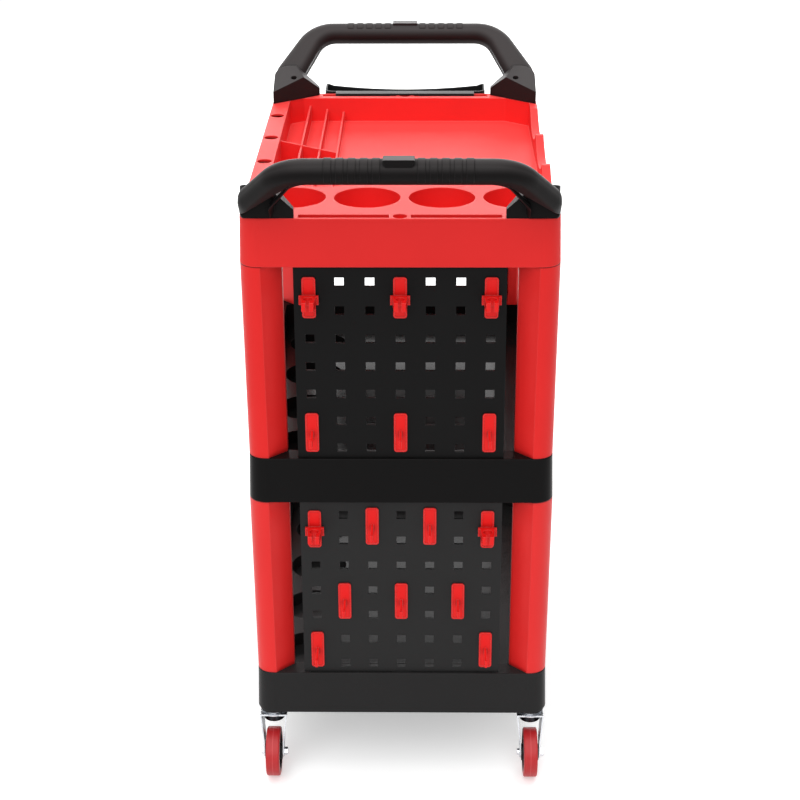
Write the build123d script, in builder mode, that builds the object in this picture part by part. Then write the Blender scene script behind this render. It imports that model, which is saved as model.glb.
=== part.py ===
"""Rolling utility cart: three moulded tiers on corner posts, two push handles, a pegboard end and casters.

Millimetres. The origin is on the floor under the middle of the cart, X runs across the cart, Y along it
and Z up. The pegboards are at the near end, which is at -Y.
"""

import os
from math import atan2, cos, degrees, hypot, sin

from build123d import *

os.makedirs("parts", exist_ok=True)

# Tiers
cart_width = 421.0  # across the lower edge of each skirt
cart_length = 644.0
skirt_height = 66.0
skirt_draft = 2.0  # each skirt face leans in by this much at the rim
corner_radius = 26.0
edge_round = 1.5
wall = 4.0
deck_thickness = 3.5
tier_pitch = 343.5
rim_end_width = 29.0  # flat rim at each end of a tier
rim_side_width = 11.5
basin_wall = 3.0
basin_depth = 38.0
floor_thickness = 3.5
basin_corner_radius = 6.0

# Casters
wheel_diameter = 72.0
tread_width = 20.0
tread_thickness = 7.5
hub_width = 25.0
hub_boss_diameter = 24.0
hub_web_width = 14.0
caster_height = 98.5  # floor to the seat of the stem flange
caster_inset_x = 22.5  # swivel axis from the side of the skirt
caster_inset_y = 27.0
caster_trail = 25.0
caster_boss_drop = 6.0  # boss below the bottom skirt
caster_boss_diameter = 40.0
caster_block_height = 25.0
stem_diameter = 11.0
stem_length = 34.0
stem_flange_diameter = 35.0
stem_flange_thickness = 2.0
race_diameter = 31.0
race_height = 2.2
king_pin_diameter = 8.0
lower_cup_diameter = 30.0
lower_cup_height = 10.4
king_pin_head_diameter = 16.0
king_pin_head_height = 2.5
fork_metal = 2.2
fork_crown_diameter = 39.0
fork_shoulder_drop = 3.6  # upright stretch at the top of each leg
fork_leg_radius = 8.5
fork_leg_top_width = 35.0
axle_diameter = 6.0
axle_head_diameter = 10.0
axle_head_height = 3.5
axle_nut_across = 10.0
axle_nut_height = 5.0
sleeve_diameter = 10.0
running_clearance = 0.05
side_clearance = 0.5

# Corner posts
post_front = 28.0  # flat outer face of a post
post_facet = 24.0  # across and along the slanted inner facet
post_width = 52.5
post_cheek = 14.0
post_wall = 4.0
post_end_plate = 6.0
post_setback = 1.5  # behind the end of the tiers
spigot_inset = 26.0  # spigot axis from the sides of the skirt
spigot_diameter = 30.0
spigot_length = 46.0
seat_clearance = 0.15

# Top tray
ledge_width = 26.5
driver_hole_diameter = 21.0
driver_hole_pitch = 123.0
driver_hole_count = 4
can_hole_diameter = 89.0
can_hole_pitch = 99.4
can_hole_count = 4
can_row_offset = 5.2  # the row sits between the ledge and the scalloped wall
can_row_inset = 90.0  # from the end of the rim
can_lip_width = 8.5
can_wall = 2.5
deck_depth = 138.0  # near deck, from the end of the rim
rim_slot_length = 118.0
rim_slot_width = 13.5
rim_slot_spacing = 146.0
rim_slot_inset = 10.75
rim_slot_depth = 30.0
rim_hole_diameter = 19.0
rim_hole_depth = 10.0
pocket_wall = 2.0  # round the rim's slots and holes
divider_thickness = 2.5
divider_steps = [(31.0, 13.0), (58.0, 18.5), (84.0, 22.5)]  # from the ledge, drop below the rim
cross_divider_offset = 59.0
cross_divider_drop = 4.0
scallop_count = 3
scallop_pitch = 154.0
scallop_chord = 146.0
scallop_depth = 24.0

# Shelf wells
shelf_well_diameter = 90.0
shelf_well_pitch = 127.0
shelf_well_count = 4
shelf_well_inset = 67.5  # from the rim at the left side
shelf_well_depth = 20.0

# Handles
grip_rise = 82.4  # grip axis above the rim
grip_reach = 65.0  # grip axis beyond the end of the rim
arm_root_inset = 20.0  # handle plane meets the rim this far inside the end
grip_width = 31.0  # in the handle plane
handle_thickness = 31.0
handle_edge_radius = 13.0
handle_inset = 1.5  # handle behind the outer edges of the rim
arm_shoulder = 46.0  # length of the upright stretch of an arm's outer edge
arm_root_width = 46.0
arm_shoulder_run = 54.0  # how far the outer edge leans in above the shoulder
arm_throat = 36.0
arm_throat_run = 32.0
arm_shoulder_bend = 32.0
arm_outer_bend = 66.0
arm_inner_bend = 28.0
arm_tail = 40.0  # below the rim, cut off by the seat of the handle
foot_side_length = 66.0
foot_end_length = 71.5
foot_end_step = 11.0
foot_side_height = 19.0
foot_apex_height = 34.0
foot_end_height = 12.0
foot_apex_share = 0.66  # where the two roofs of a foot meet along its slanted face
hollow_edge_inset = 2.0  # hollow under each arm, from the arm's outer side
hollow_edge_start = 7.0  # its upper edge above the rim at that side
hollow_edge_rise = 66.0
hollow_edge_run = 71.0
hollow_rib = 6.0  # left standing at the inner side of the arm
hollow_rib_height = 18.5
hollow_skin = 9.5  # left standing on the upper side of the arm
pad_width = 39.4
pad_taper = 7.0
pad_height = 18.3  # level top above the grip's axis
pad_front = 13.3  # upright front face from the grip's axis
pad_depth = 20.4
pad_chamfer = 1.0
rib_count = 5
rib_pitch = 15.0
rib_width = 9.0
rib_rise = 0.9
rib_start = 28.0  # first rib from the middle of the grip

# Handle screws
screw_diameter = 5.0
screw_head_diameter = 9.0
screw_head_height = 4.0
screw_seat_height = 12.0  # seat of the head above the rim
screw_bite = 22.0  # length of the screw in the post's spigot
screw_inset_x = 34.5
screw_inset_y = 33.0
screw_clearance = 0.1

# Pegboards
board_width = 280.0
board_thickness = 5.0
board_setback = 5.0  # face of the board behind the end of the rim
board_overlap = 18.0  # top of the board behind the skirt above
board_tab_depth = 3.0
board_tab_clearance = 3.0
peg_pitch = 40.0
peg_count = 7
peg_hole = 12.5
peg_base = 15.0  # lowest row above the rim that carries the board

# Hooks and tool clips
peg_clearance = 0.4
peg_engagement = 7.0
plate_width = 18.0
plate_height = 57.0
plate_thickness = 2.5
plate_radius = 4.0
plate_bead_width = 1.6
plate_bead_rise = 0.7
hook_plate_rise = 3.4
hook_blade_rise = 3.0
hook_blade_width = 3.4
hook_reach = 37.0
hook_blade_height = 7.0
hook_tip_height = 11.5
hook_tip_thickness = 3.2
hook_fillet = 1.2
clip_plate_drop = 1.2
clip_arm_drop = 3.5
clip_width = 26.0
clip_height = 12.0
clip_ear_depth = 5.0
clip_body_width = 20.0
clip_tip_width = 16.0
clip_reach = 30.0
clip_throat_diameter = 13.0
clip_throat_reach = 15.0
clip_mouth = 4.5

# Hanging bin
bin_width = 258.0
bin_depth = 57.0
bin_height = 253.0
bin_wall = 2.5
bin_front_dip = 11.0  # middle of the front edge below the top of the hook
bin_dip_width = 254.0
bin_dip_ramp = 9.0  # at each end of the dip
bin_dip_shoulder = 4.5
bin_corner_radius = 12.0
bin_gap = 0.4  # between the bin's back and the tray's skirt
bin_hook_width = 222.0
bin_hook_thickness = 3.0
bin_tongue_length = 88.0
bin_tongue_depth = 15.0
bin_tongue_thickness = 4.0

# Places worked out from the driving dimensions
half_width = cart_width / 2
half_length = cart_length / 2
rim_half_width = half_width - skirt_draft
rim_half_length = half_length - skirt_draft
draft_angle = degrees(atan2(skirt_draft, skirt_height))
bottom_rim = caster_height + caster_boss_drop + skirt_height
middle_rim = bottom_rim + tier_pitch
tray_rim = middle_rim + tier_pitch
post_length = tier_pitch - skirt_height
post_draft_angle = degrees(atan2(skirt_draft, post_length))
corner_signs = [(-1, -1), (1, -1), (-1, 1), (1, 1)]
corner_names = ["near_left", "near_right", "far_left", "far_right"]
spigot_x = half_width - spigot_inset
spigot_y = half_length - spigot_inset
screw_x = half_width - screw_inset_x
screw_y = half_length - screw_inset_y
foot_side_y = rim_half_length - foot_side_length
foot_end_x = rim_half_width - foot_end_length
foot_end_y = rim_half_length - foot_end_step
drop_spigot_length = skirt_height - spigot_length


def finish(piece, node):
    """Name a finished piece and write it."""
    piece.part.label = node
    export_step(piece.part, f"parts/{node}.step")


def basin_points(left, right, near, far, near_corners):
    """Basin outline whose corners follow the slanted faces of the handle feet."""
    slope = (foot_end_y - foot_side_y) / (rim_half_width - foot_end_x)

    def cut(x_side, y_end):
        return (
            (x_side, foot_side_y + (rim_half_width - abs(x_side)) * slope),
            (rim_half_width - (y_end - foot_side_y) / slope, y_end),
        )

    left_side, left_end = cut(-left, far)
    right_side, right_end = cut(right, far)
    points = [(right, right_side[1]), (right_end[0], far), (-left_end[0], far), (left, left_side[1])]
    if near_corners:
        points += [(left, -left_side[1]), (-left_end[0], near), (right_end[0], near), (right, -right_side[1])]
    else:
        points += [(left, near), (right, near)]
    return points


def skirt_shell(rim):
    """Open-bottomed shell of one tier: a drafted skirt under a flat deck."""
    foot = Plane.XY.offset(rim - skirt_height)
    with BuildSketch(foot) as outline:
        RectangleRounded(cart_width, cart_length, corner_radius)
    extrude(outline.sketch, amount=skirt_height, taper=draft_angle)
    levels = edges().group_by(Axis.Z)
    fillet(levels[0] + levels[-1], edge_round)
    with BuildSketch(foot) as hollow:
        RectangleRounded(cart_width - 2 * wall, cart_length - 2 * wall, corner_radius - wall)
    extrude(hollow.sketch, amount=skirt_height - deck_thickness, taper=draft_angle, mode=Mode.SUBTRACT)


def rim_slots(rim):
    """Two long pockets sunk into the rim at each end of a tier."""
    row_spacing = 2 * (rim_half_length - rim_slot_inset)
    with BuildSketch(Plane.XY.offset(rim)) as pockets:
        with GridLocations(rim_slot_spacing, row_spacing, 2, 2):
            Rectangle(rim_slot_length + 2 * pocket_wall, rim_slot_width + 2 * pocket_wall)
    extrude(pockets.sketch, amount=-rim_slot_depth - pocket_wall)
    with BuildSketch(Plane.XY.offset(rim)) as slots:
        with GridLocations(rim_slot_spacing, row_spacing, 2, 2):
            Rectangle(rim_slot_length, rim_slot_width)
    extrude(slots.sketch, amount=-rim_slot_depth, mode=Mode.SUBTRACT)


# Top tray, with its basin, can deck, driver ledge, dividers and scalloped wall
tray_left = -(rim_half_width - ledge_width)
tray_right = rim_half_width - rim_side_width
tray_far = rim_half_length - rim_end_width
tray_near = -(rim_half_length - deck_depth)
tray_floor = tray_rim - basin_depth
can_y = -(rim_half_length - can_row_inset)
can_centres = [
    (can_row_offset + (index - (can_hole_count - 1) / 2) * can_hole_pitch, can_y)
    for index in range(can_hole_count)
]
basin_outline = basin_points(tray_left, tray_right, tray_near, tray_far, False)
with BuildPart() as top_tray:
    skirt_shell(tray_rim)
    with BuildSketch(Plane.XY.offset(tray_floor - floor_thickness)) as basin_block:
        Polygon(*basin_outline, align=None)
        offset(amount=basin_wall, kind=Kind.INTERSECTION)
        with Locations((tray_right + rim_side_width / 2, 0)):
            Rectangle(rim_side_width, 2 * foot_side_y)
        with Locations(*can_centres):
            Circle(can_hole_diameter / 2 + can_wall)
    extrude(amount=basin_depth + floor_thickness)
    with BuildSketch(Plane.XY.offset(tray_floor)) as basin:
        Polygon(*basin_outline, align=None)
        fillet(basin.vertices(), basin_corner_radius)
        with Locations(*can_centres):
            Circle(can_hole_diameter / 2 + can_lip_width, mode=Mode.SUBTRACT)
    extrude(amount=basin_depth, mode=Mode.SUBTRACT)
    with BuildSketch(Plane.XY.offset(tray_floor)) as can_wells:
        with Locations(*can_centres):
            Circle(can_hole_diameter / 2)
    extrude(amount=basin_depth, mode=Mode.SUBTRACT)
    for divider_x, divider_drop in divider_steps:
        with BuildSketch(Plane.XY.offset(tray_floor)) as divider:
            with Locations((tray_left + divider_x, (tray_far + tray_near) / 2)):
                Rectangle(divider_thickness, tray_far - tray_near)
        extrude(amount=basin_depth - divider_drop)
    last_divider, last_drop = divider_steps[-1]
    with BuildSketch(Plane.XZ.offset(-cross_divider_offset - divider_thickness / 2)) as cross_divider:
        Polygon(
            (tray_left, tray_floor),
            (tray_left + last_divider, tray_floor),
            (tray_left + last_divider, tray_rim - last_drop),
            (tray_left, tray_rim - cross_divider_drop),
            align=None,
        )
    extrude(amount=divider_thickness)
    scallop_radius = ((scallop_chord / 2) ** 2 + scallop_depth**2) / (2 * scallop_depth)
    with BuildSketch(Plane.YZ.offset(tray_right - basin_wall / 2)) as scallops:
        with Locations((0, tray_rim + scallop_radius - scallop_depth)):
            with GridLocations(scallop_pitch, 1, scallop_count, 1):
                Circle(scallop_radius)
    extrude(amount=rim_side_width + 2 * basin_wall, mode=Mode.SUBTRACT)
    rim_slots(tray_rim)
    with BuildSketch(Plane.XY.offset(tray_rim)) as driver_holes:
        with Locations((-(rim_half_width - ledge_width / 2), 0)):
            with GridLocations(1, driver_hole_pitch, 1, driver_hole_count):
                Circle(driver_hole_diameter / 2)
    extrude(amount=-2 * deck_thickness, mode=Mode.SUBTRACT)
    block_depth = rim_slot_inset + rim_hole_diameter / 2 + pocket_wall - wall / 2
    with BuildSketch(Plane.XY.offset(tray_rim - deck_thickness / 2)) as hole_blocks:
        with GridLocations(1, 2 * rim_half_length - wall - block_depth, 1, 2):
            Rectangle(rim_slot_spacing - rim_slot_length, block_depth)
    extrude(amount=-(rim_hole_depth + pocket_wall - deck_thickness / 2))
    with BuildSketch(Plane.XY.offset(tray_rim)) as rim_holes:
        with GridLocations(1, 2 * (rim_half_length - rim_slot_inset), 1, 2):
            Circle(rim_hole_diameter / 2)
    extrude(amount=-rim_hole_depth, mode=Mode.SUBTRACT)
    with BuildSketch(Plane.XY.offset(tray_rim - deck_thickness)) as post_bosses:
        with GridLocations(2 * spigot_x, 2 * spigot_y, 2, 2):
            Circle(spigot_diameter / 2)
    extrude(amount=-(skirt_height - deck_thickness - spigot_length))
    with BuildSketch(Plane.XY.offset(tray_rim)) as screw_holes:
        with GridLocations(2 * screw_x, 2 * screw_y, 2, 2):
            Circle(screw_diameter / 2 + screw_clearance)
    extrude(amount=-(skirt_height - spigot_length), mode=Mode.SUBTRACT)
finish(top_tray, "top_tray")

# Middle and bottom shelves, with can wells along the left side of the floor
shelf_right = rim_half_width - rim_side_width
shelf_outline = basin_points(-shelf_right, shelf_right, -tray_far, tray_far, True)
caster_x = half_width - caster_inset_x
caster_y = half_length - caster_inset_y
for shelf_name, shelf_rim, has_casters in (
    ("middle_shelf", middle_rim, False),
    ("bottom_shelf", bottom_rim, True),
):
    shelf_floor = shelf_rim - basin_depth
    skirt_foot = shelf_rim - skirt_height
    with BuildPart() as shelf:
        skirt_shell(shelf_rim)
        with BuildSketch(Plane.XY.offset(shelf_floor - floor_thickness)) as shelf_block:
            Polygon(*shelf_outline, align=None)
            offset(amount=basin_wall, kind=Kind.INTERSECTION)
        extrude(amount=basin_depth + floor_thickness)
        with BuildSketch(Plane.XY.offset(shelf_floor)) as shelf_basin:
            Polygon(*shelf_outline, align=None)
            fillet(shelf_basin.vertices(), basin_corner_radius)
        extrude(amount=basin_depth, mode=Mode.SUBTRACT)
        with BuildSketch(Plane.XY.offset(shelf_floor)) as well_walls:
            with Locations((-rim_half_width + shelf_well_inset, 0)):
                with GridLocations(1, shelf_well_pitch, 1, shelf_well_count):
                    Circle(shelf_well_diameter / 2 + can_wall)
        extrude(amount=-shelf_well_depth - can_wall)
        with BuildSketch(Plane.XY.offset(shelf_floor)) as shelf_wells:
            with Locations((-rim_half_width + shelf_well_inset, 0)):
                with GridLocations(1, shelf_well_pitch, 1, shelf_well_count):
                    Circle(shelf_well_diameter / 2)
        extrude(amount=-shelf_well_depth, mode=Mode.SUBTRACT)
        rim_slots(shelf_rim)
        with BuildSketch(Plane.XY.offset(shelf_rim)) as spigot_holes:
            with GridLocations(2 * spigot_x, 2 * spigot_y, 2, 2):
                Circle(spigot_diameter / 2 + seat_clearance)
        extrude(amount=-2 * deck_thickness, mode=Mode.SUBTRACT)
        if has_casters:
            with BuildSketch(Plane.XY.offset(skirt_foot)) as caster_blocks:
                RectangleRounded(cart_width - wall, cart_length - wall, corner_radius - wall / 2)
                block_reach = caster_boss_diameter / 2
                Rectangle(2 * (caster_x - block_reach), cart_length, mode=Mode.SUBTRACT)
                Rectangle(cart_width, 2 * (caster_y - block_reach), mode=Mode.SUBTRACT)
            extrude(amount=caster_block_height, taper=draft_angle)
            with BuildSketch(Plane.XY.offset(caster_height)) as caster_bosses:
                with GridLocations(2 * caster_x, 2 * caster_y, 2, 2):
                    Circle(caster_boss_diameter / 2)
            extrude(amount=caster_boss_drop + caster_block_height)
            with BuildSketch(Plane.XY.offset(caster_height)) as stem_sockets:
                with GridLocations(2 * caster_x, 2 * caster_y, 2, 2):
                    Circle(stem_diameter / 2 + seat_clearance)
            extrude(amount=stem_length + side_clearance, mode=Mode.SUBTRACT)
    finish(shelf, shelf_name)

# Corner posts: open channels with a spigot at each end
post_outline = [
    (0, 0),
    (post_front, 0),
    (post_width, post_facet),
    (post_width, post_facet + post_cheek),
    (post_facet + post_cheek, post_width),
    (post_facet, post_width),
    (0, post_front),
]
facet_run = post_wall * (post_width - post_front) / post_facet
post_reach = [
    (-post_wall, -post_wall),
    (post_front - facet_run, -post_wall),
    *post_outline[2:-1],
    (-post_wall, post_front - facet_run),
]
for tier_name, post_foot in (("upper", middle_rim), ("lower", bottom_rim)):
    for corner, (side_x, side_y) in zip(corner_names, corner_signs):
        outline, reach = (
            [
                (side_x * (rim_half_width - u), side_y * (rim_half_length - post_setback - v))
                for u, v in points
            ]
            for points in (post_outline, post_reach)
        )
        open_side = (Vector(*outline[3]) + Vector(*outline[4])) / 2
        with BuildPart() as post:
            with BuildSketch(Plane.XY.offset(post_foot)) as tier_outline:
                RectangleRounded(
                    2 * rim_half_width,
                    2 * (rim_half_length - post_setback),
                    corner_radius - skirt_draft,
                )
            extrude(amount=post_length, taper=-post_draft_angle)
            with BuildSketch(Plane.XY.offset(post_foot)) as post_section:
                Polygon(*reach, align=None)
            extrude(amount=post_length, mode=Mode.INTERSECT)
            with BuildSketch(Plane.XY.offset(post_foot + post_end_plate)) as channel:
                Polygon(*outline, align=None)
                fillet(channel.vertices().sort_by_distance(outline[0])[0], corner_radius - skirt_draft)
                offset(amount=-post_wall, kind=Kind.INTERSECTION)
                with Locations(open_side):
                    RegularPolygon(post_cheek, 4, rotation=0)
            extrude(amount=post_length - 2 * post_end_plate, mode=Mode.SUBTRACT)
            with Locations((side_x * spigot_x, side_y * spigot_y, post_foot + post_length)):
                Cylinder(spigot_diameter / 2, spigot_length, align=(Align.CENTER, Align.CENTER, Align.MIN))
            with Locations((side_x * spigot_x, side_y * spigot_y, post_foot)):
                Cylinder(
                    spigot_diameter / 2,
                    drop_spigot_length,
                    align=(Align.CENTER, Align.CENTER, Align.MAX),
                )
            with Locations((side_x * screw_x, side_y * screw_y, post_foot + post_length + spigot_length)):
                Cylinder(
                    screw_diameter / 2 + screw_clearance,
                    2 * (screw_bite + side_clearance),
                    mode=Mode.SUBTRACT,
                )
        finish(post, f"{tier_name}_post_{corner}")

# Push handles: a bent bar on two gabled feet, with a ribbed grip
handle_angle = atan2(grip_rise, grip_reach + arm_root_inset)
grip_distance = hypot(grip_rise, grip_reach + arm_root_inset)
arm_outer = rim_half_width - handle_inset
foot_outer_y = rim_half_length - handle_inset
arm_inner = arm_outer - arm_root_width
grip_top = grip_distance + grip_width / 2
grip_bottom = grip_distance - grip_width / 2
grip_y = rim_half_length + grip_reach
foot_run = foot_outer_y - foot_side_y
foot_span = arm_outer - foot_end_x
roof_rise = (foot_apex_height - foot_side_height) / (foot_apex_share * (foot_end_y - foot_side_y))
roof_height = foot_side_height + roof_rise * foot_run
fall_height = foot_end_height + (foot_apex_height - foot_end_height) / (1 - foot_apex_share)
for handle_name, side_y in (("near_handle", -1), ("far_handle", 1)):
    rise = Vector(0, side_y * cos(handle_angle), sin(handle_angle))
    handle_plane = Plane(
        origin=(0, side_y * (rim_half_length - arm_root_inset), tray_rim),
        x_dir=(1, 0, 0),
        z_dir=Vector(1, 0, 0).cross(rise),
    )
    hollow_roof = handle_plane.offset(side_y * (handle_thickness / 2 - hollow_skin))
    hollow_front = Plane((0, side_y * foot_outer_y, tray_rim), (1, 0, 0), (0, -1, 0))
    feet = []
    hollows = []
    inner_corners = []
    for side_x in (-1, 1):
        outer_corner = (side_x * arm_outer, side_y * foot_outer_y)
        slant_start = (side_x * arm_outer, side_y * foot_side_y)
        slant_end = (side_x * foot_end_x, side_y * foot_end_y)
        inner_corners.append((slant_start, slant_end, (side_x * foot_end_x, side_y * foot_side_y)))
        with BuildPart() as foot:
            with BuildSketch(Plane.XY.offset(tray_rim)) as foot_plan:
                Polygon(
                    outer_corner,
                    slant_start,
                    slant_end,
                    (side_x * foot_end_x, side_y * foot_outer_y),
                    align=None,
                )
                fillet(foot_plan.vertices().sort_by_distance(outer_corner)[0], corner_radius - skirt_draft)
            extrude(amount=roof_height)
            roof_plane = Plane((0, side_y * foot_side_y, tray_rim), (0, side_y, 0), (side_y, 0, 0))
            with BuildSketch(roof_plane) as roof:
                Polygon(
                    (0, 0),
                    (0, foot_side_height),
                    (foot_run, roof_height),
                    (foot_run, 0),
                    align=None,
                )
            extrude(amount=cart_width, both=True, mode=Mode.INTERSECT)
            fall_plane = Plane((side_x * foot_end_x, 0, tray_rim), (side_x, 0, 0), (0, -side_x, 0))
            with BuildSketch(fall_plane) as fall:
                Polygon(
                    (0, 0),
                    (0, foot_end_height),
                    (foot_span, fall_height),
                    (foot_span, 0),
                    align=None,
                )
            extrude(amount=cart_length, both=True, mode=Mode.INTERSECT)
        feet.append(foot.part)
        edge_x = side_x * (arm_outer - hollow_edge_inset)
        rib_x = side_x * (arm_inner + hollow_rib)
        with BuildPart() as hollow:
            with BuildSketch(hollow_front) as hollow_side:
                Polygon(
                    (edge_x, 0),
                    (edge_x, hollow_edge_start),
                    (edge_x - side_x * hollow_edge_run, hollow_edge_rise),
                    (rib_x, hollow_rib_height),
                    (rib_x, 0),
                    align=None,
                )
            extrude(amount=-side_y * cart_length)
            with BuildSketch(hollow_roof) as hollow_depth:
                Rectangle(cart_width, cart_length)
            extrude(amount=-side_y * cart_length, mode=Mode.INTERSECT)
        hollows.append(hollow.part)

    with BuildPart() as handle:
        with BuildSketch(handle_plane) as bar:
            with BuildLine():
                FilletPolyline(
                    (-arm_outer, -arm_tail),
                    (-arm_outer, arm_shoulder),
                    (-arm_outer + arm_shoulder_run, grip_top),
                    (arm_outer - arm_shoulder_run, grip_top),
                    (arm_outer, arm_shoulder),
                    (arm_outer, -arm_tail),
                    radius=[arm_shoulder_bend, arm_outer_bend, arm_outer_bend, arm_shoulder_bend],
                )
                Line((arm_outer, -arm_tail), (arm_inner, -arm_tail))
                FilletPolyline(
                    (arm_inner, -arm_tail),
                    (arm_inner, arm_throat),
                    (arm_inner - arm_throat_run, grip_bottom),
                    (-arm_inner + arm_throat_run, grip_bottom),
                    (-arm_inner, arm_throat),
                    (-arm_inner, -arm_tail),
                    radius=arm_inner_bend,
                )
                Line((-arm_inner, -arm_tail), (-arm_outer, -arm_tail))
            make_face()
        extrude(amount=handle_thickness / 2, both=True)
        fillet(handle.faces().filter_by(handle_plane).edges(), handle_edge_radius)
        add(hollows, mode=Mode.SUBTRACT)
        pad_plane = Plane((0, side_y * (grip_y + pad_front), tray_rim + grip_rise), (1, 0, 0), (0, -1, 0))
        with BuildSketch(pad_plane) as thumb_pad:
            Polygon(
                (-pad_width / 2 + pad_chamfer, pad_height),
                (-pad_width / 2, pad_height - pad_chamfer),
                (-pad_width / 2 + pad_taper, 0),
                (pad_width / 2 - pad_taper, 0),
                (pad_width / 2, pad_height - pad_chamfer),
                (pad_width / 2 - pad_chamfer, pad_height),
                align=None,
            )
        extrude(amount=side_y * pad_depth)
        for rib_side in (-1, 1):
            for rib in range(rib_count):
                rib_x = rib_side * (rib_start + rib * rib_pitch)
                rib_plane = Plane(handle_plane.from_local_coords((rib_x, grip_distance, 0)), rise, (1, 0, 0))
                with BuildSketch(rib_plane):
                    RectangleRounded(
                        grip_width + 2 * rib_rise,
                        handle_thickness + 2 * rib_rise,
                        handle_edge_radius + rib_rise,
                    )
                    Rectangle(
                        grip_width,
                        2 * handle_thickness,
                        align=(Align.MIN, Align.CENTER),
                        mode=Mode.INTERSECT,
                    )
                extrude(amount=rib_width / 2, both=True)
        with Locations((0, 0, tray_rim)):
            Box(
                2 * cart_width,
                2 * cart_length,
                cart_length,
                align=(Align.CENTER, Align.CENTER, Align.MAX),
                mode=Mode.SUBTRACT,
            )
        with BuildSketch(Plane.XY.offset(tray_rim)) as inside_the_feet:
            for corner_points in inner_corners:
                Polygon(*corner_points, align=None)
        extrude(amount=foot_apex_height, mode=Mode.SUBTRACT)
        add(feet)
        with BuildSketch(Plane.XY.offset(tray_rim)) as screw_ways:
            with Locations((-screw_x, side_y * screw_y), (screw_x, side_y * screw_y)):
                Circle(screw_diameter / 2 + screw_clearance)
        extrude(amount=foot_apex_height, mode=Mode.SUBTRACT)
        with BuildSketch(Plane.XY.offset(tray_rim + screw_seat_height)) as screw_wells:
            with Locations((-screw_x, side_y * screw_y), (screw_x, side_y * screw_y)):
                Circle(screw_head_diameter / 2 + screw_clearance)
        extrude(amount=foot_apex_height, mode=Mode.SUBTRACT)
    finish(handle, handle_name)

# Handle screws
with BuildPart() as handle_screws:
    screw_seat = tray_rim + screw_seat_height
    screw_tip = tray_rim - skirt_height + spigot_length - screw_bite
    with BuildSketch(Plane.XY.offset(screw_seat)) as screw_heads:
        with GridLocations(2 * screw_x, 2 * screw_y, 2, 2):
            Circle(screw_head_diameter / 2)
    extrude(amount=screw_head_height)
    with BuildSketch(Plane.XY.offset(screw_tip)) as screw_shanks:
        with GridLocations(2 * screw_x, 2 * screw_y, 2, 2):
            Circle(screw_diameter / 2)
    extrude(amount=screw_seat - screw_tip)
finish(handle_screws, "handle_screws")

# Pegboards at the near end
board_face = -(rim_half_length - board_setback)
board_height = post_length + board_overlap
for board_name, board_foot in (("upper_pegboard", middle_rim), ("lower_pegboard", bottom_rim)):
    with BuildPart() as board:
        with BuildSketch(Plane.XZ.offset(-board_face - board_thickness)) as board_plate:
            with Locations((0, board_foot + board_height / 2)):
                Rectangle(board_width, board_height)
            with Locations((0, board_foot - board_tab_depth / 2)):
                with GridLocations(rim_slot_spacing, 1, 2, 1):
                    Rectangle(rim_slot_length - 2 * board_tab_clearance, board_tab_depth)
            with Locations((0, board_foot + peg_base + (peg_count - 1) / 2 * peg_pitch)):
                with GridLocations(peg_pitch, peg_pitch, peg_count, peg_count):
                    Rectangle(peg_hole, peg_hole, mode=Mode.SUBTRACT)
        extrude(amount=board_thickness)
    finish(board, board_name)


def peg_point(column, row, board_foot):
    """Middle of the two holes that a plate spans, at the given column and upper row."""
    x = (column - (peg_count + 1) / 2) * peg_pitch
    z = board_foot + peg_base + (peg_count - row) * peg_pitch - peg_pitch / 2
    return (x, board_face, z)


def backed_plate(shift):
    """Plate with a raised bead and two pegs, its back at the origin and facing -Y."""
    with BuildSketch(Plane.XZ) as plate:
        with Locations((0, shift)):
            RectangleRounded(plate_width, plate_height, plate_radius)
    extrude(plate.sketch, amount=plate_thickness)
    with BuildSketch(Plane.XZ.offset(plate_thickness)) as panel:
        with Locations((0, shift)):
            RectangleRounded(
                plate_width - 2 * plate_bead_width,
                plate_height - 2 * plate_bead_width,
                plate_radius - plate_bead_width,
            )
    extrude(panel.sketch, amount=-plate_bead_rise, mode=Mode.SUBTRACT)
    with BuildSketch(Plane.XZ) as pegs:
        with GridLocations(1, peg_pitch, 1, 2):
            Rectangle(peg_hole - 2 * peg_clearance, peg_hole - 2 * peg_clearance)
    extrude(pegs.sketch, amount=-peg_engagement)


# Peg hook: a thin blade with an upturned tip
plate_front = -plate_thickness + plate_bead_rise
hook_tip = plate_front - hook_reach
with BuildPart() as peg_hook:
    backed_plate(hook_plate_rise)
    blade_top = hook_blade_rise + hook_blade_height / 2
    arm_top = blade_top - hook_blade_height
    arm_foot = arm_top - hook_tip_thickness
    with BuildSketch(Plane.YZ) as blade:
        with BuildLine():
            Polyline(
                (plate_front, blade_top),
                (plate_front, arm_foot),
                (hook_tip, arm_foot),
                (hook_tip, arm_foot + hook_tip_height),
                (hook_tip + hook_tip_thickness, arm_foot + hook_tip_height),
                (hook_tip + hook_tip_thickness, arm_top),
                (plate_front - hook_reach / 2, arm_top),
                close=True,
            )
        make_face()
        fillet(blade.vertices().group_by(Axis.X)[0], hook_fillet)
    extrude(amount=hook_blade_width / 2, both=True)

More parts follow.
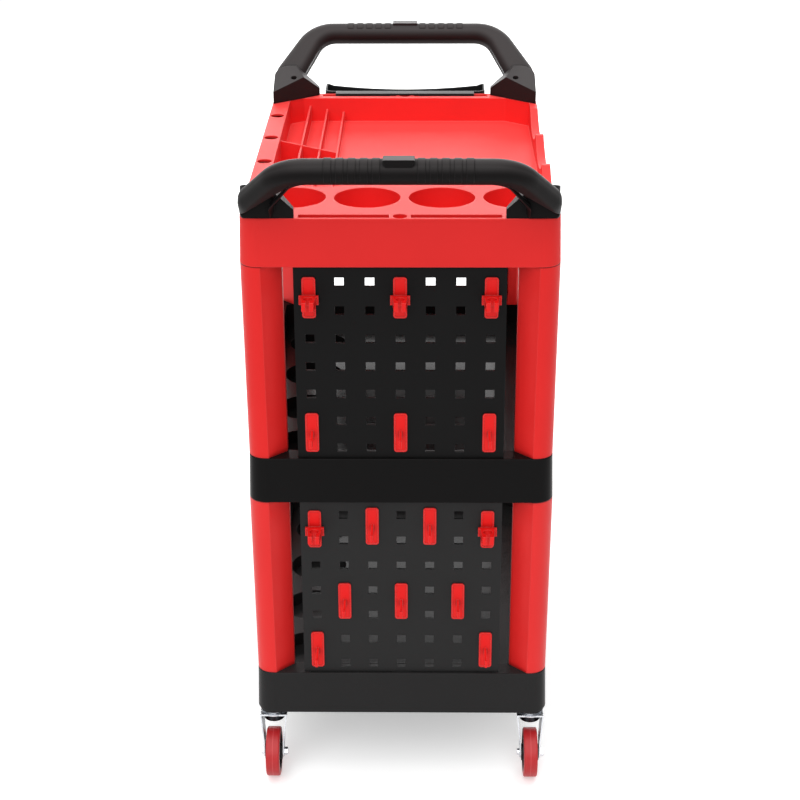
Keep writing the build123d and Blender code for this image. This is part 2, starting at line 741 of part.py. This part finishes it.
# Tool clip: two sprung arms round a throat with a narrow mouth
with BuildPart() as tool_clip:
    backed_plate(-clip_plate_drop)
    with BuildSketch(Plane.XY.offset(-clip_height / 2 - clip_arm_drop)) as arms:
        Polygon(
            (-clip_width / 2, plate_front),
            (clip_width / 2, plate_front),
            (clip_width / 2, plate_front - clip_ear_depth),
            (clip_body_width / 2, plate_front - clip_ear_depth),
            (clip_tip_width / 2, plate_front - clip_reach),
            (-clip_tip_width / 2, plate_front - clip_reach),
            (-clip_body_width / 2, plate_front - clip_ear_depth),
            (-clip_width / 2, plate_front - clip_ear_depth),
            align=None,
        )
        fillet(arms.vertices().group_by(Axis.Y)[0], hook_fillet)
        with Locations((0, plate_front - clip_throat_reach)):
            Circle(clip_throat_diameter / 2, mode=Mode.SUBTRACT)
            Rectangle(clip_mouth, clip_reach, align=(Align.CENTER, Align.MAX), mode=Mode.SUBTRACT)
    extrude(amount=clip_height)

clip_places = {
    "upper_tool_clips": [(column, 1, middle_rim) for column in (1, 4, 7)],
    "lower_tool_clips": [(column, 1, bottom_rim) for column in (1, 7)],
}
hook_places = {
    "upper_peg_hooks": [(column, 6, middle_rim) for column in (1, 4, 7)],
    "lower_peg_hooks": [
        (column, row, bottom_rim)
        for row, columns in ((1, (3, 5)), (4, (2, 4, 6)), (6, (1, 7)))
        for column in columns
    ],
}
for single, places in ((tool_clip, clip_places), (peg_hook, hook_places)):
    for group_name, spots in places.items():
        with BuildPart() as group:
            with Locations(*[peg_point(*spot) for spot in spots]):
                add(single.part)
        finish(group, group_name)

# Hanging bin on the far rim
bin_back = half_length + bin_gap
bin_top = tray_rim + bin_hook_thickness
bin_foot = bin_top - bin_height
with BuildPart() as hanging_bin:
    with BuildSketch(Plane.XY.offset(bin_foot)) as bin_plan:
        with Locations((0, bin_back + bin_depth / 2)):
            RectangleRounded(bin_width, bin_depth, bin_corner_radius)
    extrude(amount=bin_height)
    with BuildSketch(Plane.XY.offset(bin_foot + bin_wall)) as bin_inside:
        with Locations((0, bin_back + bin_depth / 2)):
            RectangleRounded(bin_width - 2 * bin_wall, bin_depth - 2 * bin_wall, bin_corner_radius - bin_wall)
    extrude(amount=bin_height, mode=Mode.SUBTRACT)
    dip_end = bin_dip_width / 2
    shoulder = (dip_end - bin_dip_ramp, bin_top - bin_dip_shoulder)
    with BuildSketch(Plane.XZ.offset(-bin_back - bin_depth)) as bin_dip:
        with BuildLine():
            Polyline((-shoulder[0], shoulder[1]), (-dip_end, bin_top), (dip_end, bin_top), shoulder)
            ThreePointArc((-shoulder[0], shoulder[1]), (0, bin_top - bin_front_dip), shoulder)
        make_face()
    extrude(amount=bin_corner_radius, mode=Mode.SUBTRACT)
    hook_front = rim_half_length - rim_slot_inset - bin_tongue_thickness / 2
    with BuildSketch(Plane.XY.offset(tray_rim)) as bin_hook:
        with Locations((0, (hook_front + bin_back + bin_wall) / 2)):
            Rectangle(bin_hook_width, bin_back + bin_wall - hook_front)
    extrude(amount=bin_hook_thickness)
    with BuildSketch(Plane.XY.offset(tray_rim)) as bin_tongues:
        with Locations((0, rim_half_length - rim_slot_inset)):
            with GridLocations(bin_hook_width - bin_tongue_length, 1, 2, 1):
                Rectangle(bin_tongue_length, bin_tongue_thickness)
    extrude(amount=-bin_tongue_depth)
finish(hanging_bin, "hanging_bin")

# Casters: stem, ball race, fork, axle bolt and nut, sleeve, hub and tread for each corner
wheel_radius = wheel_diameter / 2
flange_foot = caster_height - stem_flange_thickness
crown_top = flange_foot - race_height - side_clearance
crown_foot = crown_top - fork_metal
cup_top = crown_foot - side_clearance
leg_inner = hub_width / 2 + side_clearance
leg_outer = leg_inner + fork_metal
crown_radius = fork_crown_diameter / 2
leg_bend = wheel_radius + fork_leg_top_width / 2
for corner, (side_x, side_y) in zip(corner_names, corner_signs):
    swivel_x = side_x * caster_x
    swivel_y = side_y * caster_y
    base = Plane((swivel_x, swivel_y, 0))
    fore_aft = Plane((swivel_x, swivel_y, 0), x_dir=(0, 1, 0), z_dir=(1, 0, 0))
    front = Plane((swivel_x, swivel_y, 0), x_dir=(1, 0, 0), z_dir=(0, -1, 0))
    axle = Plane((swivel_x, swivel_y - caster_trail, wheel_radius), x_dir=(0, 1, 0), z_dir=(1, 0, 0))

    with BuildPart() as stem:
        with BuildSketch(base.offset(flange_foot)):
            Circle(stem_flange_diameter / 2)
        extrude(amount=stem_flange_thickness)
        with BuildSketch(base.offset(caster_height)):
            Circle(stem_diameter / 2)
        extrude(amount=stem_length)
        with BuildSketch(base.offset(flange_foot)):
            Circle(king_pin_diameter / 2)
        extrude(amount=cup_top - flange_foot)
        with BuildSketch(base.offset(cup_top)):
            Circle(lower_cup_diameter / 2)
        extrude(amount=-lower_cup_height)
        with BuildSketch(base.offset(cup_top - lower_cup_height)):
            Circle(king_pin_head_diameter / 2)
        extrude(amount=-king_pin_head_height)
    finish(stem, f"caster_stem_{corner}")

    with BuildPart() as race:
        with BuildSketch(base.offset(flange_foot - race_height)):
            Circle(race_diameter / 2)
            Circle(king_pin_diameter / 2 + seat_clearance, mode=Mode.SUBTRACT)
        extrude(amount=race_height)
    finish(race, f"swivel_race_{corner}")

    with BuildPart() as fork:
        with BuildSketch(fore_aft) as leg_side:
            with Locations((-caster_trail, wheel_radius)):
                Circle(fork_leg_radius)
            with Locations((0, crown_top - fork_shoulder_drop / 2)):
                Rectangle(fork_leg_top_width, fork_shoulder_drop)
            make_hull()
        extrude(amount=crown_radius, both=True)
        with BuildSketch(front) as leg_front:
            with BuildLine():
                Polyline(
                    (-leg_outer, 0),
                    (-leg_outer, leg_bend),
                    (-crown_radius, crown_top - fork_shoulder_drop),
                    (-crown_radius, crown_top),
                    (crown_radius, crown_top),
                    (crown_radius, crown_top - fork_shoulder_drop),
                    (leg_outer, leg_bend),
                    (leg_outer, 0),
                    (leg_inner, 0),
                    (leg_inner, leg_bend),
                    (crown_radius - fork_metal, crown_top - fork_shoulder_drop),
                    (crown_radius - fork_metal, crown_foot),
                    (-crown_radius + fork_metal, crown_foot),
                    (-crown_radius + fork_metal, crown_top - fork_shoulder_drop),
                    (-leg_inner, leg_bend),
                    (-leg_inner, 0),
                    close=True,
                )
            make_face()
        extrude(amount=cart_width, both=True, mode=Mode.INTERSECT)
        with BuildSketch(base.offset(crown_top)):
            Circle(crown_radius)
        extrude(amount=-fork_metal)
        with BuildSketch(base.offset(crown_top)):
            Circle(king_pin_diameter / 2 + running_clearance)
        extrude(amount=-fork_metal, mode=Mode.SUBTRACT)
        with BuildSketch(axle):
            Circle(axle_diameter / 2 + seat_clearance)
        extrude(amount=2 * leg_outer, both=True, mode=Mode.SUBTRACT)
    finish(fork, f"caster_fork_{corner}")

    with BuildPart() as bolt:
        with BuildSketch(axle.offset(-leg_outer)):
            Circle(axle_diameter / 2)
        extrude(amount=2 * leg_outer + axle_nut_height)
        with BuildSketch(axle.offset(-leg_outer)):
            Circle(axle_head_diameter / 2)
        extrude(amount=-axle_head_height)
    finish(bolt, f"axle_bolt_{corner}")

    with BuildPart() as nut:
        with BuildSketch(axle.offset(leg_outer)):
            RegularPolygon(axle_nut_across / 2, 6, major_radius=False)
            Circle(axle_diameter / 2 + screw_clearance, mode=Mode.SUBTRACT)
        extrude(amount=axle_nut_height)
    finish(nut, f"axle_nut_{corner}")

    with BuildPart() as sleeve:
        with BuildSketch(axle.offset(-leg_inner)):
            Circle(sleeve_diameter / 2)
            Circle(axle_diameter / 2 + screw_clearance, mode=Mode.SUBTRACT)
        extrude(amount=2 * leg_inner)
    finish(sleeve, f"axle_sleeve_{corner}")

    tread_inner = wheel_radius - tread_thickness
    with BuildPart() as hub:
        with BuildSketch(axle):
            Circle(tread_inner)
        extrude(amount=tread_width / 2, both=True)
        with BuildSketch(axle):
            Circle(tread_inner - tread_thickness / 2)
            Circle(hub_boss_diameter / 2, mode=Mode.SUBTRACT)
        extrude(amount=tread_width, both=True, mode=Mode.SUBTRACT)
        with BuildSketch(axle):
            Circle(tread_inner - tread_thickness / 2)
        extrude(amount=hub_web_width / 2, both=True)
        with BuildSketch(axle):
            Circle(hub_boss_diameter / 2)
        extrude(amount=hub_width / 2, both=True)
        with BuildSketch(axle):
            Circle(sleeve_diameter / 2 + running_clearance)
        extrude(amount=hub_width, both=True, mode=Mode.SUBTRACT)
    finish(hub, f"wheel_hub_{corner}")

    with BuildPart() as tread:
        with BuildSketch(axle):
            Circle(wheel_radius)
            Circle(tread_inner, mode=Mode.SUBTRACT)
        extrude(amount=tread_width / 2, both=True)
        fillet(tread.edges().filter_by(GeomType.CIRCLE).group_by(SortBy.RADIUS)[-1], tread_thickness / 3)
    finish(tread, f"wheel_tread_{corner}")
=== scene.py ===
"""Looks of a rolling utility cart, in metres. The pegboard end is at -Y and the floor at Z = 0."""

from math import radians

import bpy
from mathutils import Euler, Matrix

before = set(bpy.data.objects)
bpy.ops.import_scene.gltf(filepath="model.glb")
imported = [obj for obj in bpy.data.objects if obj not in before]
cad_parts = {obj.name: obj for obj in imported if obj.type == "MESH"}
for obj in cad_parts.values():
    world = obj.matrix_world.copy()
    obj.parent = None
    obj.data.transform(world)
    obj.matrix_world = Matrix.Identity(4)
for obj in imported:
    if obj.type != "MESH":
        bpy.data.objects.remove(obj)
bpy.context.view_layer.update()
corners = ("near_left", "near_right", "far_left", "far_right")


# Caster metal: stems, races, forks, axle bolts, nuts and sleeves.
# Pressed and turned steel with bright zinc plating. The stem is riveted through
# the fork. Painted shade darkens the sideways cheeks and the cup under the fork's crown.
class Tone:
    """A socket of a finish. Sums, products and the like of tones add Math nodes to that finish."""

    def __init__(self, socket):
        self.socket = socket
        self.tree = socket.id_data

    def node(self, kind, settings=None, sockets=None, out=0):
        """Any other node: its settings first, then the values or tones of its sockets."""
        node = self.tree.nodes.new(kind)
        for name, value in (settings or {}).items():
            setattr(node, name, value)
        for name, value in (sockets or {}).items():
            if isinstance(value, Tone):
                self.tree.links.new(value.socket, node.inputs[name])
            else:
                node.inputs[name].default_value = value
        return Tone(node.outputs[out])

    def maths(self, operation, first, second):
        return self.node("ShaderNodeMath", {"operation": operation}, {0: first, 1: second})

    def __add__(self, other):
        return self.maths("ADD", self, other)

    def __radd__(self, other):
        return self.maths("ADD", other, self)

    def __sub__(self, other):
        return self.maths("SUBTRACT", self, other)

    def __rsub__(self, other):
        return self.maths("SUBTRACT", other, self)

    def __mul__(self, other):
        return self.maths("MULTIPLY", self, other)

    def __rmul__(self, other):
        return self.maths("MULTIPLY", other, self)

    def __lt__(self, other):
        return self.maths("LESS_THAN", self, other)

    def __gt__(self, other):
        return self.maths("GREATER_THAN", self, other)

    def __abs__(self):
        return self.maths("ABSOLUTE", self, 0.0)

    def into(self, node, name):
        self.tree.links.new(self.socket, node.inputs[name])


def new_finish(name, **constants):
    """An empty finish: its material, its shader, and the place on the cart that its patterns read."""
    material = bpy.data.materials.new(name)
    material.use_nodes = True
    shader = material.node_tree.nodes["Principled BSDF"]
    for socket, value in constants.items():
        shader.inputs[socket.replace("_", " ")].default_value = value
    coordinates = material.node_tree.nodes.new("ShaderNodeTexCoord")
    return material, shader, Tone(coordinates.outputs["Object"])


def coat(material, names):
    """Puts a finish on the cart's solids with these names."""
    for name in names:
        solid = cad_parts[name]
        solid.data.materials.clear()
        solid.data.materials.append(material)


def noise(place, scale, detail=2.0, stretch=(1.0, 1.0, 1.0)):
    spread = place.node("ShaderNodeMapping", {}, {"Vector": place, "Scale": stretch})
    return place.node("ShaderNodeTexNoise", {}, {"Vector": spread, "Scale": scale, "Detail": detail})


def axis_of(place, letter):
    return place.node("ShaderNodeSeparateXYZ", {}, {0: place}, out=letter)


def facing(place, letter):
    """How far a face looks along one axis of the cart, from -1 to 1."""
    return axis_of(Tone(place.socket.node.outputs["Normal"]), letter)


def clamped(tone):
    return tone.node("ShaderNodeClamp", {}, {0: tone})


def blend_colours(mask, first, second):
    """first where the mask is 0 and second where it is 1."""
    return mask.node("ShaderNodeMix", {"data_type": "RGBA"}, {0: mask, 6: first, 7: second}, out=2)


def eased_normal(place, radius):
    """The normal, rounded over sharp edges."""
    return place.node("ShaderNodeBevel", {"samples": 6}, {"Radius": radius})


def bumped(height, normal, strength, distance):
    sockets = {"Height": height, "Normal": normal, "Strength": strength, "Distance": distance}
    return height.node("ShaderNodeBump", {}, sockets)


zinc_bright = (0.8, 0.81, 0.83, 1.0)
zinc_dull = (0.58, 0.6, 0.64, 1.0)
# The shade colour below is painted shade on the cheeks that face sideways; cheek_shade is its share.
zinc_shade = (0.1, 0.115, 0.14, 1.0)
cheek_shade = 0.75
# The dark colour below the fork's crown is painted shade.
painted_cup_shade = (0.03, 0.032, 0.036, 1.0)
cup_level = 0.0913


def plated(name, cup_shaded):
    """Bright zinc with cloudy passivation and painted shade on the cheeks. If greased, painted shade darkens
    it below the fork's crown.
    """
    material, shader, place = new_finish(name, Metallic=1.0)
    clouds = noise(place, scale=160.0, detail=4.0)
    scuffs = noise(place, scale=900.0, stretch=(1.0, 1.0, 0.25))
    plate = blend_colours(clouds, zinc_bright, zinc_dull)
    colour = blend_colours(abs(facing(place, "X")) * cheek_shade, plate, zinc_shade)
    if cup_shaded:
        colour = blend_colours(axis_of(place, "Z") < cup_level, colour, painted_cup_shade)
    colour.into(shader, "Base Color")
    (0.16 + 0.14 * clouds + 0.1 * scuffs).into(shader, "Roughness")
    bumped(scuffs, eased_normal(place, 0.0005), strength=0.08, distance=0.0002).into(shader, "Normal")
    return material


coat(plated("zinc_stem", cup_shaded=True), [f"caster_stem_{corner}" for corner in corners])
coat(
    plated("zinc_plate", cup_shaded=False),
    [
        f"{piece}_{corner}"
        for piece in ("swivel_race", "caster_fork", "axle_bolt", "axle_nut", "axle_sleeve")
        for corner in corners
    ],
)


# Wheels: a black plastic hub inside a cast crimson tread.
# The tread is polyurethane poured round the hub. It keeps a seam at its middle
# and faint streaks round its rim.
def darker(colour, share):
    red, green, blue, alpha = colour
    return (share * red, share * green, share * blue, alpha)


def edge_mask(eased, reach):
    """1 along the sharp edges that the eased normal rounds over."""
    plain = eased.node("ShaderNodeNewGeometry", out="Normal")
    turn = {"operation": "DOT_PRODUCT"}
    likeness = eased.node("ShaderNodeVectorMath", turn, {0: eased, 1: plain}, out="Value")
    return clamped((1 - likeness) * reach)


def moulded(
    name, face, highlight, gloss, speck, sheen, edge_radius=0.0012, line=0.5, painted_corner_shade=0.0, painted_top_light=0.0, painted_shadow_above=None
):
    """Moulded plastic: cloudy colour, fine grain, painted highlights on its edges and painted shade in its
    corners.

    rub is the colour of the painted highlight on its edges (strength line) and of the painted top light on
    faces that look up (strength bloom).
    crevice is the strength of the painted shade in its corners, and above the level of joint a painted shadow
    of the tier above darkens it."""
    material, shader, place = new_finish(name, Specular_IOR_Level=sheen)
    flow = noise(place, scale=9.0, detail=3.0)
    grain = noise(place, scale=speck)
    eased = eased_normal(place, edge_radius)
    edge = edge_mask(eased, reach=1.6)
    body = blend_colours(flow, face, darker(face, 0.9))
    # Painted top light: faces that look up are lightened.
    if painted_top_light:
        upward = clamped(facing(place, "Z"))
        body = blend_colours(painted_top_light * upward * upward, body, highlight)
    # Painted shade in the corners.
    if painted_corner_shade:
        open_sky = place.node("ShaderNodeAmbientOcclusion", {"samples": 8}, {"Distance": 0.008}, out="AO")
        body = blend_colours(painted_corner_shade * (1 - open_sky), body, darker(face, 0.3))
    # Painted highlight along the edges.
    body = blend_colours(edge * line, body, highlight)
    # Painted shadow of the tier above, on the part above that level.
    if painted_shadow_above:
        body = blend_colours(axis_of(place, "Z") > painted_shadow_above, body, darker(face, 0.25))
    body.into(shader, "Base Color")
    (gloss + 0.1 * flow + 0.08 * grain - 0.06 * edge).into(shader, "Roughness")
    bumped(grain, eased, strength=0.16, distance=0.0002).into(shader, "Normal")
    return material


hub_black = (0.008, 0.008, 0.008, 1.0)
# The hub's pale edge colour is a painted highlight.
hub_highlight = (0.03, 0.03, 0.03, 1.0)
hub_finish = moulded(
    "hub_black", hub_black, hub_highlight, gloss=0.45, speck=1400.0, sheen=0.25, edge_radius=0.0006
)
coat(hub_finish, [f"wheel_hub_{corner}" for corner in corners])

tread_red = (0.43, 0.006, 0.008, 1.0)
tread_worn = (0.54, 0.026, 0.03, 1.0)
tread_seam = (0.66, 0.09, 0.1, 1.0)
wheel_track = 0.188
seam_half_width = 0.0005

material, shader, place = new_finish("tread_urethane", Specular_IOR_Level=0.4)
streaks = noise(place, scale=260.0, detail=3.0, stretch=(3.0, 0.35, 0.35))
seam = abs(abs(axis_of(place, "X")) - wheel_track) < seam_half_width
body = blend_colours(streaks, tread_red, tread_worn)
blend_colours(seam * 0.6, body, tread_seam).into(shader, "Base Color")
(0.3 + 0.25 * streaks).into(shader, "Roughness")
bumped(streaks + seam, eased_normal(place, 0.0008), strength=0.12, distance=0.0003).into(shader, "Normal")
coat(material, [f"wheel_tread_{corner}" for corner in corners])


# Bottom and middle shelf: black moulded tiers that the posts plug into.
# Structural-foam plastic with a fine grain. Its smooth floors mirror what stands
# behind them. The bottom shelf is painted paler than the middle one to stand in for light; both are the same
# plastic, with painted highlights on their edges.
shelf_highlight = (0.03, 0.028, 0.028, 1.0)
for shelf, face, gloss, sheen in (
    ("bottom_shelf", (0.0245, 0.024, 0.0242, 1.0), 0.2, 0.05),
    ("middle_shelf", (0.0075, 0.0071, 0.0071, 1.0), 0.12, 0.045),
):
    coat(moulded(f"{shelf}_black", face, shelf_highlight, gloss, speck=900.0, sheen=sheen), [shelf])


# Corner posts and top tray: the red mouldings.
# The same satin red plastic, smooth from the mould, with painted highlights on its edges.
# A painted shadow darkens each post's top below the tier above; posts get painted corner shade, the tray
# painted top light.
cart_red = (0.83, 0.021, 0.0195, 1.0)
red_edge_highlight = (1.0, 0.3, 0.28, 1.0)
for level, sheen, painted_shadow_above in (("upper", 0.17, 0.7903), ("lower", 0.27, 0.4469)):
    coat(
        moulded(
            f"{level}_post_red", cart_red, red_edge_highlight, gloss=0.34, speck=700.0, sheen=sheen,
            edge_radius=0.0015, line=0.6, painted_corner_shade=1.5, painted_shadow_above=painted_shadow_above,
        ),
        [f"{level}_post_{corner}" for corner in corners],
    )
coat(
    moulded(
        "tray_red", cart_red, red_edge_highlight, gloss=0.5, speck=700.0, sheen=0.23,
        edge_radius=0.002, line=0.9, painted_top_light=0.1,
    ),
    ["top_tray"],
)


# Pegboards: thin black panels, held between the tiers at the near end.
# Matt plastic sheet with a leathery grain, punched in a square grid.
board_black = (0.0048, 0.0046, 0.0047, 1.0)
# The pale edge colour is a painted highlight.
board_highlight = (0.05, 0.05, 0.05, 1.0)
for board, sheen in (("upper_pegboard", 0.1), ("lower_pegboard", 0.28)):
    board_finish = moulded(
        f"{board}_black", board_black, board_highlight, gloss=0.5, speck=600.0, sheen=sheen, edge_radius=0.0008
    )
    coat(board_finish, [board])


# Peg hooks and tool clips: small red mouldings pegged into the boards.
# Hard glossy plastic with crisp edges, painted highlights along them and painted shade in their corners.
clip_red = (0.88, 0.012, 0.011, 1.0)
clip_edge_highlight = (1.0, 0.36, 0.33, 1.0)
coat(
    moulded(
        "clip_red", clip_red, clip_edge_highlight, gloss=0.26, speck=1200.0, sheen=0.2,
        edge_radius=0.0006, line=1.0, painted_corner_shade=1.2,
    ),
    ["upper_tool_clips", "lower_tool_clips", "upper_peg_hooks", "lower_peg_hooks"],
)


# Handles: two angled bows screwed to the tray's corners through the posts.
# Thick black plastic with a satin skin, ribbed where the hands hold it.
handle_highlight = (0.05, 0.045, 0.045, 1.0)
# The far handle is painted lighter than the near one to stand in for light; both are the same plastic. Each
# gets painted top light, painted edge highlights and painted corner shade.
for handle, face, sheen in (
    ("near_handle", (0.0055, 0.0046, 0.0046, 1.0), 0.08),
    ("far_handle", (0.014, 0.0095, 0.0095, 1.0), 0.15),
):
    handle_finish = moulded(
        f"{handle}_black", face, handle_highlight, gloss=0.4, speck=800.0, sheen=sheen,
        edge_radius=0.0015, line=0.6, painted_corner_shade=2.0, painted_top_light=1.0,
    )
    coat(handle_finish, [handle])


# Handle screws: blackened steel, sunk in the handle feet.
# They go through each foot into the post below.
screw_black = (0.05, 0.05, 0.055, 1.0)
screw_worn = (0.1, 0.1, 0.105, 1.0)
material, shader, place = new_finish("screw_black", Metallic=1.0)
oxide = noise(place, scale=700.0, detail=3.0)
blend_colours(oxide, screw_black, screw_worn).into(shader, "Base Color")
(0.35 + 0.2 * oxide).into(shader, "Roughness")
coat(material, ["handle_screws"])


# Hanging bin: a black open box hooked into the far rim.
# Thin moulded plastic with a fine grain and painted highlights on its edges.
bin_black = (0.011, 0.011, 0.0115, 1.0)
bin_highlight = (0.3, 0.3, 0.31, 1.0)
bin_finish = moulded(
    "bin_black", bin_black, bin_highlight, gloss=0.4, speck=1000.0, sheen=0.1, edge_radius=0.0015, line=0.8
)
coat(bin_finish, ["hanging_bin"])


# Floor: a plain white studio floor that runs out of the picture.
# It keeps the cart's soft shadow.
floor_white = (0.92, 0.92, 0.92, 1.0)
floor_pale = (0.94, 0.94, 0.94, 1.0)
bpy.ops.object.select_all(action="DESELECT")
bpy.ops.mesh.primitive_plane_add(size=60.0, location=(0.0, 0.0, -0.0005))
floor = bpy.context.object
floor.name = "studio_floor"
floor_glow = 0.38
material, shader, place = new_finish(
    "floor_white", Specular_IOR_Level=0.0, Roughness=1.0, Emission_Strength=floor_glow
)
blend_colours(noise(place, scale=0.6), floor_white, floor_pale).into(shader, "Base Color")
floor.data.materials.append(material)


def picture_rays(tree):
    """1 where the picture, or a reflection in metal, looks straight at the backdrop."""
    path = tree.nodes.new("ShaderNodeLightPath").outputs
    seen = Tone(path["Is Camera Ray"]) + Tone(path["Is Glossy Ray"]) + Tone(path["Is Transmission Ray"])
    return clamped(seen)


picture_rays(material.node_tree).into(shader, "Emission Color")


# Light: a white room with a broad key from the front left, a soft ceiling and a
# window behind that lies on the tops of the tiers.
room_level = 0.32
world = bpy.data.worlds.new("white_room")
bpy.context.scene.world = world
world.use_nodes = True
sky = world.node_tree.nodes["Background"]
sky.inputs["Color"].default_value = (1.0, 1.0, 1.0, 1.0)
(room_level + (1.0 - room_level) * picture_rays(world.node_tree)).into(sky, "Strength")

key = bpy.data.lights.new("key", "SUN")
key.energy = 1.6
key.angle = radians(60.0)
key_lamp = bpy.data.objects.new("key", key)
key_lamp.rotation_euler = Euler((radians(46.0), 0.0, radians(-14.0)))
bpy.context.scene.collection.objects.link(key_lamp)

ceiling = bpy.data.lights.new("ceiling", "AREA")
ceiling.size = 2.5
ceiling.energy = 41.0
ceiling_lamp = bpy.data.objects.new("ceiling", ceiling)
ceiling_lamp.location = (0.0, 0.0, 3.0)
bpy.context.scene.collection.objects.link(ceiling_lamp)

window = bpy.data.lights.new("window", "AREA")
window.shape = "RECTANGLE"
window.size = 6.4
window.size_y = 3.2
window.energy = 220.0
window_lamp = bpy.data.objects.new("window", window)
window_lamp.location = (0.0, 4.5, 2.1)
window_lamp.rotation_euler = Euler((radians(-74.0), 0.0, 0.0))
bpy.context.scene.collection.objects.link(window_lamp)


# Camera: a little above the cart, looking down on the pegboard end.
# Its place and angle were fitted to the lines of the three tiers.
look_down = radians(24.11)
look_left = radians(0.83)
tilt = radians(-0.23)
camera = bpy.data.cameras.new("camera")
camera.sensor_fit = "HORIZONTAL"
camera.angle = radians(25.29)
camera_stand = bpy.data.objects.new("camera", camera)
turn = Euler((radians(90.0) - look_down, 0.0, look_left)).to_matrix() @ Matrix.Rotation(tilt, 3, "Z")
camera_stand.matrix_world = Matrix.LocRotScale((0.031, -2.505, 1.5805), turn, None)
bpy.context.scene.collection.objects.link(camera_stand)
bpy.context.scene.camera = camera_stand
bpy.context.scene.view_settings.view_transform = "Standard"
